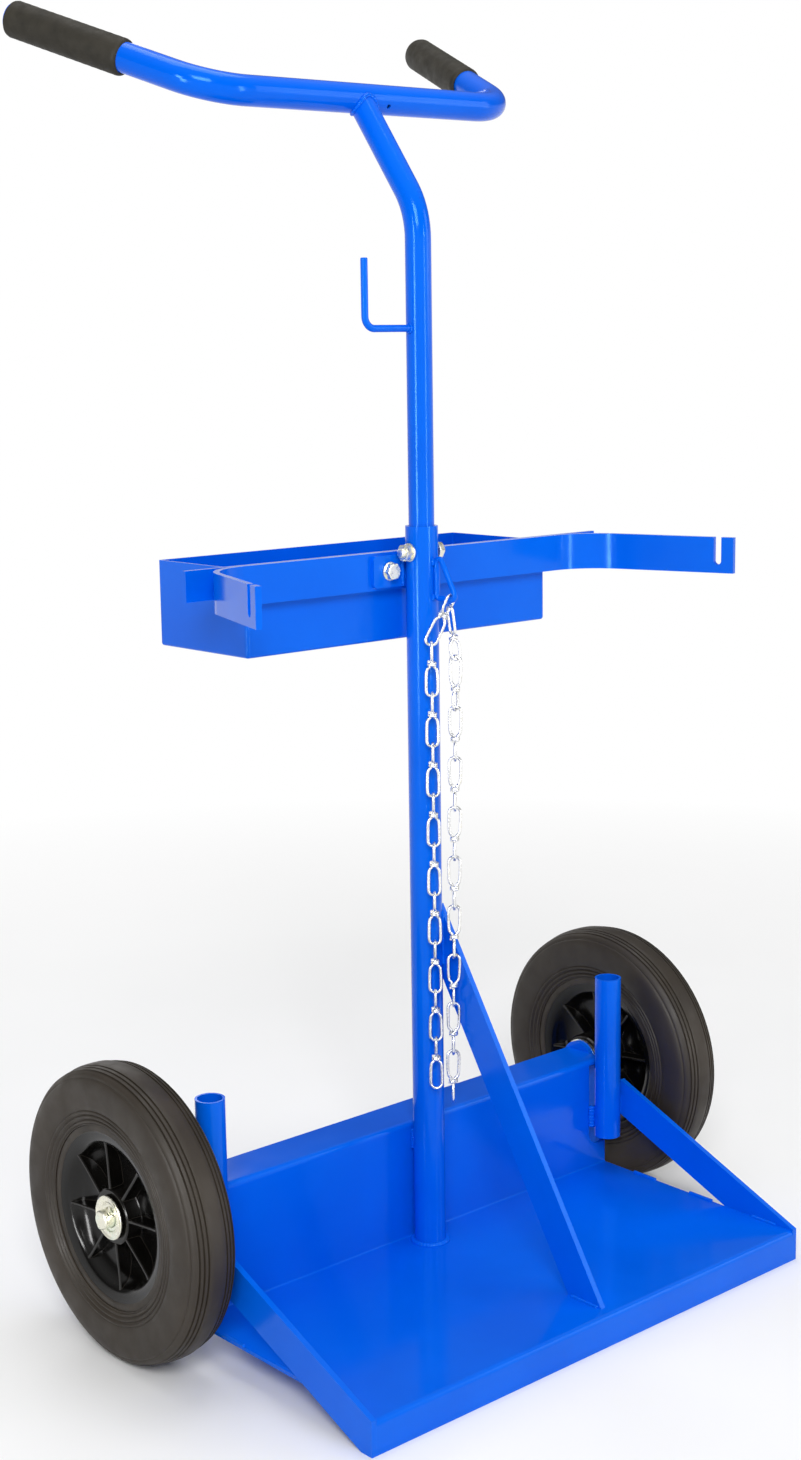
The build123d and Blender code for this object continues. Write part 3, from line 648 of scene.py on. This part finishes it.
def weld_beads():
    """Every visible bead on the frame, as one painted piece."""
    beads = Shape()

    def run(x, y, z, radius, pitch=2.2):
        """Straight bead in millimetres; the coordinate given as a pair is the one that it runs along."""
        ends = []
        for k in range(2):
            ends.append(Vector([(v[k] if isinstance(v, tuple) else v) * MM for v in (x, y, z)]))
        ripple(beads, ends, radius, pitch=pitch)

    def loop(path, radius, pitch):
        """Bead round a closed path whose last point repeats the first."""
        ripple(beads, path[:-1] + [path[0]], radius, closed=True, pitch=pitch)

    mast_low, mast_high = (Vector(v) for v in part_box("mast_tube"))
    mast = (mast_low + mast_high) / 2
    mast_r = (mast_high.x - mast_low.x) / 2 / MM
    plate_top = mast_low.z / MM
    mast_front = mast.y / MM - 0.6
    foot = Vector((mast.x, mast.y, (plate_top + 0.6) * MM))
    loop(arc(foot, Vector((1, 0, 0)), Vector((0, 1, 0)), (mast_r + 1.2) * MM, 0, 360, 60), 2.6, 3.0)

    # Mast to panel, then at each side: rod tube to panel, stay to panel, and stay to toe plate
    for x in (-4.5, 4.5):
        run(x, PANEL_FACE_Y - 2.4, (112, 130), 2.7)
    for side, sign in SIDES:
        stay_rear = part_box(f"{side}_stay")[1][1] / MM
        run(sign * 229.2, -8.6, (70, 91), 3.6, 3.0)
        run(sign * 250.6, stay_rear + 1.2, (84, 102), 2.6)
        for y in (-205, -130, -60):
            run(sign * 249.3, (y - 14, y + 14), plate_top + 0.5, 1.7)

    # Brace to toe plate and to mast
    for x in (BRACE_X - 2.8, BRACE_X + 2.8):
        run(x, (-222, -191), plate_top + 0.4, 1.7)
    for x in (BRACE_X - 2.4, BRACE_X + 2.3):
        reach = sqrt(mast_r**2 - x**2) if x < mast_r else 3
        run(x, mast_front - reach, (286, 335), 1.7)

    # Tab to mast, chain eye to mast, hook to stem, and stem to handlebar
    for z in (621.5, 647):
        run(-13.6, -15.4, (z - 0.5, z + 0.5), 1.4)
    run(-13.8, -15.2, (622, 647), 1.5)
    eye_low, eye_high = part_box("chain_eye")
    for z in (eye_low[2] / MM + 3.5, eye_high[2] / MM - 5):
        for x in (-0.6, 4.6):
            run(x, mast_front - mast_r, (z - 3, z + 3), 1.6)
    hook_foot = Vector((-(STEM_R + 0.2) * MM, mast.y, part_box("hose_hook")[0][2] + 3 * MM))
    loop(arc(hook_foot, Vector((0, 1, 0)), UP, 3.3 * MM, 0, 360, 24), 1.3, 1.8)
    loop(handle_saddle(), 1.9, 2.6)
    beads.piece("weld_beads", "frame_paint", "frame", "frame_welds", sharp=60)


def handle_saddle():
    """The line where the inclined stem meets the round handlebar."""
    bar = Vector((0, BAR_Y, BAR_Z)) * MM
    corner = Vector((0, STEM_Y, STEM_BEND_Z)) * MM
    along = (bar - corner).normalized()
    across = Vector((1, 0, 0))
    over = along.cross(across)
    points = []
    for k in range(49):
        t = 2 * pi * k / 48
        lift = sqrt(BAR_R**2 - (STEM_R * sin(t))**2)
        outward = (across * cos(t) + over * sin(t)) * (STEM_R + 0.2)
        points.append(bar - along * (lift + 0.3) * MM + outward * MM)
    return points


# ---------------------------------------------------------------- knotted chain
def knotted_link(shape, knot, up, oval_dir, loop_dir):
    """One link bent from a single wire: a wrap, the short loop, the long oval and a second wrap."""

    def at(x, y, z):
        return knot + (oval_dir * x + loop_dir * y + up * z) * MM

    def wrap(start, step, count, foot, climb):
        """Turns of wire round the knot, from a start angle in degrees."""
        angles = [radians(start + step * k) for k in range(count)]
        return [at(WRAP_R * sin(t), WRAP_R * cos(t), foot + climb * k) for k, t in enumerate(angles)]

    reach, half = LOOP
    loop = [at(0, 1.5, 1.4), at(0, 2.6, 3.2), at(0, half - 0.2, 6.4), at(0, half, reach - half)]
    loop += [at(0, half * cos(t), reach - half + half * sin(t)) for t in (pi / 6 * k for k in range(1, 6))]
    loop += [at(0, -half, reach - half), at(0, -half + 0.2, 6.4), at(0, -2.6, 3.2), at(0, -1.3, 1.2)]
    reach, half = OVAL
    oval = [at(0.9, -0.3, -1.0), at(2.1, 0, -2.9), at(half - 1.0, 0, -5.0), at(half - 0.25, 0, -8.5),
            at(half, 0, -15), at(half, 0, -(reach - half))]
    oval += [at(half * cos(t), 0, -(reach - half) - half * sin(t)) for t in (pi / 6 * k for k in range(1, 6))]
    oval += [at(-half, 0, -(reach - half)), at(-half, 0, -15), at(-half + 0.25, 0, -8.5),
             at(-half + 1.0, 0, -5.0), at(-2.1, 0, -2.9), at(-1.6, 0.6, -1.2)]
    opening, closing = wrap(-330, 30, 15, -1.9, 0.16), wrap(250, -30, 13, -0.3, 0.17)
    shape.sweep(smooth_path(opening + loop + oval + closing, 3), WIRE_R * MM, 10)


def heading(degrees):
    """Level direction at an angle from +X."""
    return Vector((cos(radians(degrees)), sin(radians(degrees)), 0))


def flatten(direction, up):
    """The part of a direction that is square to up."""
    return (direction - up * direction.dot(up)).normalized()


def hung_below(knot, down, size):
    """Centre of the wire that hangs in the lowest point of a loop or oval."""
    reach, half = size
    return knot + (down * (reach - half) + UP * (2 * WIRE_R + 0.35 - half)) * MM


def chain_links():
    """(knot, up, oval direction, loop direction) of each link of the left and right strands."""
    across, behind = heading(STRAND_TURN), heading(STRAND_TURN + 90)
    eye = Vector((2, -57.5, 611)) * MM
    lean = radians(26)
    top_up = across * sin(lean) + UP * cos(lean)
    top = eye - top_up * (LOOP[0] - 2.5 - WIRE_R - 0.55) * MM
    top_loop = Vector((0, 1, 0)).cross(top_up).normalized()
    left = [(top, top_up, flatten(across, top_up), top_loop)]
    wire = hung_below(top, -top_up, OVAL)
    for _ in range(9):
        knot = wire - UP * LOOP[0] * MM
        left.append((knot, UP, across, behind))
        wire = hung_below(knot, -UP, OVAL)
    right = []
    wire = top + (top_up * 9.6 + top_loop * 1.3) * MM
    drift = across * sin(radians(0.9)) + UP * cos(radians(0.9))
    for k in range(10):
        up = drift
        if k == 0:
            under = Vector((5.6 * MM, -60.4 * MM, wire.z - (OVAL[0] + LOOP[0]) * MM))
            up = (wire - under).normalized()
        turn = (75, 110)[k] if k < 2 else STRAND_TURN
        oval_dir = flatten(heading(turn), up)
        knot = wire - up * OVAL[0] * MM
        right.append((knot, -up, oval_dir, up.cross(oval_dir)))
        wire = hung_below(knot, -up, LOOP)
    return left, right


def chain():
    """The seven pieces of knotted chain, each riding its own body."""
    left, right = chain_links()
    groups = {
        "chain_top_link": ("chain_top", left[:1]),
        "chain_left_upper": ("chain_left_a", left[1:4]),
        "chain_left_middle": ("chain_left_b", left[4:7]),
        "chain_left_lower": ("chain_left_c", left[7:]),
        "chain_right_upper": ("chain_right_a", right[:3]),
        "chain_right_middle": ("chain_right_b", right[3:6]),
        "chain_right_lower": ("chain_right_c", right[6:]),
    }
    for name, (body, links) in groups.items():
        shape = Shape()
        for link in links:
            knotted_link(shape, *link)
        shape.piece(f"{name}_wire", "chain_zinc", body, name, sharp=70)


# ---------------------------------------------------------------- studio and camera
def area_light(name, place, target, size, power, sheen=False):
    """Soft rectangular light, in metres and watts. A sheen light shows only in glossy highlights."""
    data = bpy.data.lights.new(name, "AREA")
    data.shape = "RECTANGLE"
    data.size, data.size_y = size
    data.energy = power
    light = bpy.data.objects.new(name, data)
    light.location = place
    light.rotation_euler = (Vector(target) - Vector(place)).to_track_quat("-Z", "Y").to_euler()
    light.visible_diffuse = not sheen
    bpy.context.scene.collection.objects.link(light)


def studio():
    """Pale floor, soft lights and a pale surround that gives most of its light from above."""
    floor_mesh = bpy.data.meshes.new("studio_floor")
    radius, corners = 14, 96
    angles = [2 * pi * k / corners for k in range(corners)]
    floor_mesh.from_pydata([(radius * cos(t), radius * sin(t), 0) for t in angles], [],
                           [tuple(range(corners))])
    floor = bpy.data.objects.new("studio_floor", floor_mesh)
    bpy.context.scene.collection.objects.link(floor)
    look = Look("studio_floor", Specular_IOR_Level=0.2)
    look.colour(look.ramp(look.noise(3, 2), (0.3, (0.90, 0.90, 0.90)), (0.7, (0.92, 0.92, 0.92))))
    look.roughness(look.span(look.noise(20, 2), 0.55, 0.65))
    look.fade_out(0.6, 2.0)
    floor_mesh.materials.append(look.material)

    area_light("key", (-2.4, -2.7, 2.6), (0, -0.05, 0.5), (1.5, 1.5), 112)
    area_light("fill", (2.6, -2.4, 1.7), (0, 0, 0.5), (1.4, 1.8), 20)
    area_light("left_sheen", (-3.1, -0.75, 0.8), (0, 0, 0.8), (0.45, 2.0), 60, sheen=True)
    area_light("right_sheen", (0.68, -3.1, 0.8), (0, 0, 0.8), (0.3, 2.0), 30, sheen=True)
    area_light("overhead", (0.2, 0.2, 3.4), (0, 0, 0), (1.8, 1.8), 30)
    area_light("rear", (0.9, 2.9, 1.9), (0, 0, 0.6), (1.8, 1.4), 18)

    world = bpy.data.worlds.new("studio_surround")
    bpy.context.scene.world = world
    world.use_nodes = True
    nodes, links = world.node_tree.nodes, world.node_tree.links
    background = nodes["Background"]
    coords = nodes.new("ShaderNodeTexCoord")
    split = nodes.new("ShaderNodeSeparateXYZ")
    links.new(coords.outputs["Generated"], split.inputs[0])
    surround = nodes.new("ShaderNodeValToRGB")
    elements = surround.color_ramp.elements
    levels = ((0.0, 0.95), (0.08, 0.85), (0.2, 0.1), (0.45, 0.14), (0.85, 0.6))
    while len(elements) < len(levels):
        elements.new(0.5)
    for element, (height, level) in zip(elements, levels):
        element.position = height
        element.color = (level, level, level, 1)
    links.new(split.outputs["Z"], surround.inputs["Fac"])
    seen = nodes.new("ShaderNodeLightPath")
    strength = nodes.new("ShaderNodeMix")
    links.new(seen.outputs["Is Camera Ray"], strength.inputs[0])
    links.new(surround.outputs["Color"], strength.inputs[2])
    strength.inputs[3].default_value = 1.0
    links.new(strength.outputs[0], background.inputs["Strength"])
    background.inputs["Color"].default_value = (1, 1, 1, 1)
    bpy.context.scene.view_settings.view_transform = "Standard"


def camera():
    """Three-quarter view from the front left, a little above the arm, with a slight roll."""
    azimuth, elevation, roll = radians(-41.27), radians(10.22), radians(-0.875)
    forward = Vector((-sin(azimuth) * cos(elevation), cos(azimuth) * cos(elevation), -sin(elevation)))
    level = forward.cross(UP).normalized()
    upward = level.cross(forward)
    right = level * cos(roll) + upward * sin(roll)
    top = upward * cos(roll) - level * sin(roll)
    data = bpy.data.cameras.new("photo_view")
    data.sensor_fit = "VERTICAL"
    data.sensor_height = 36
    data.lens = 51.58
    data.shift_x, data.shift_y = 0.0073, -0.003
    data.clip_start = 0.05
    data.clip_end = 60
    cam = bpy.data.objects.new("photo_view", data)
    turn = Matrix((right, top, -forward)).transposed().to_4x4()
    cam.matrix_world = Matrix.Translation((-1.1939, -1.3404, 0.8201)) @ turn
    bpy.context.scene.collection.objects.link(cam)
    bpy.context.scene.camera = cam


dress_cad_nodes()
for side, sign in SIDES:
    wheel(side, sign)
    split_pin(side)
    outer_washer(side, sign)
    grip(side, sign)
bolt_set("tab", (0, -1, 0))
bolt_set("mast", (1, 0, 0))
weld_beads()
chain()
studio()
camera()
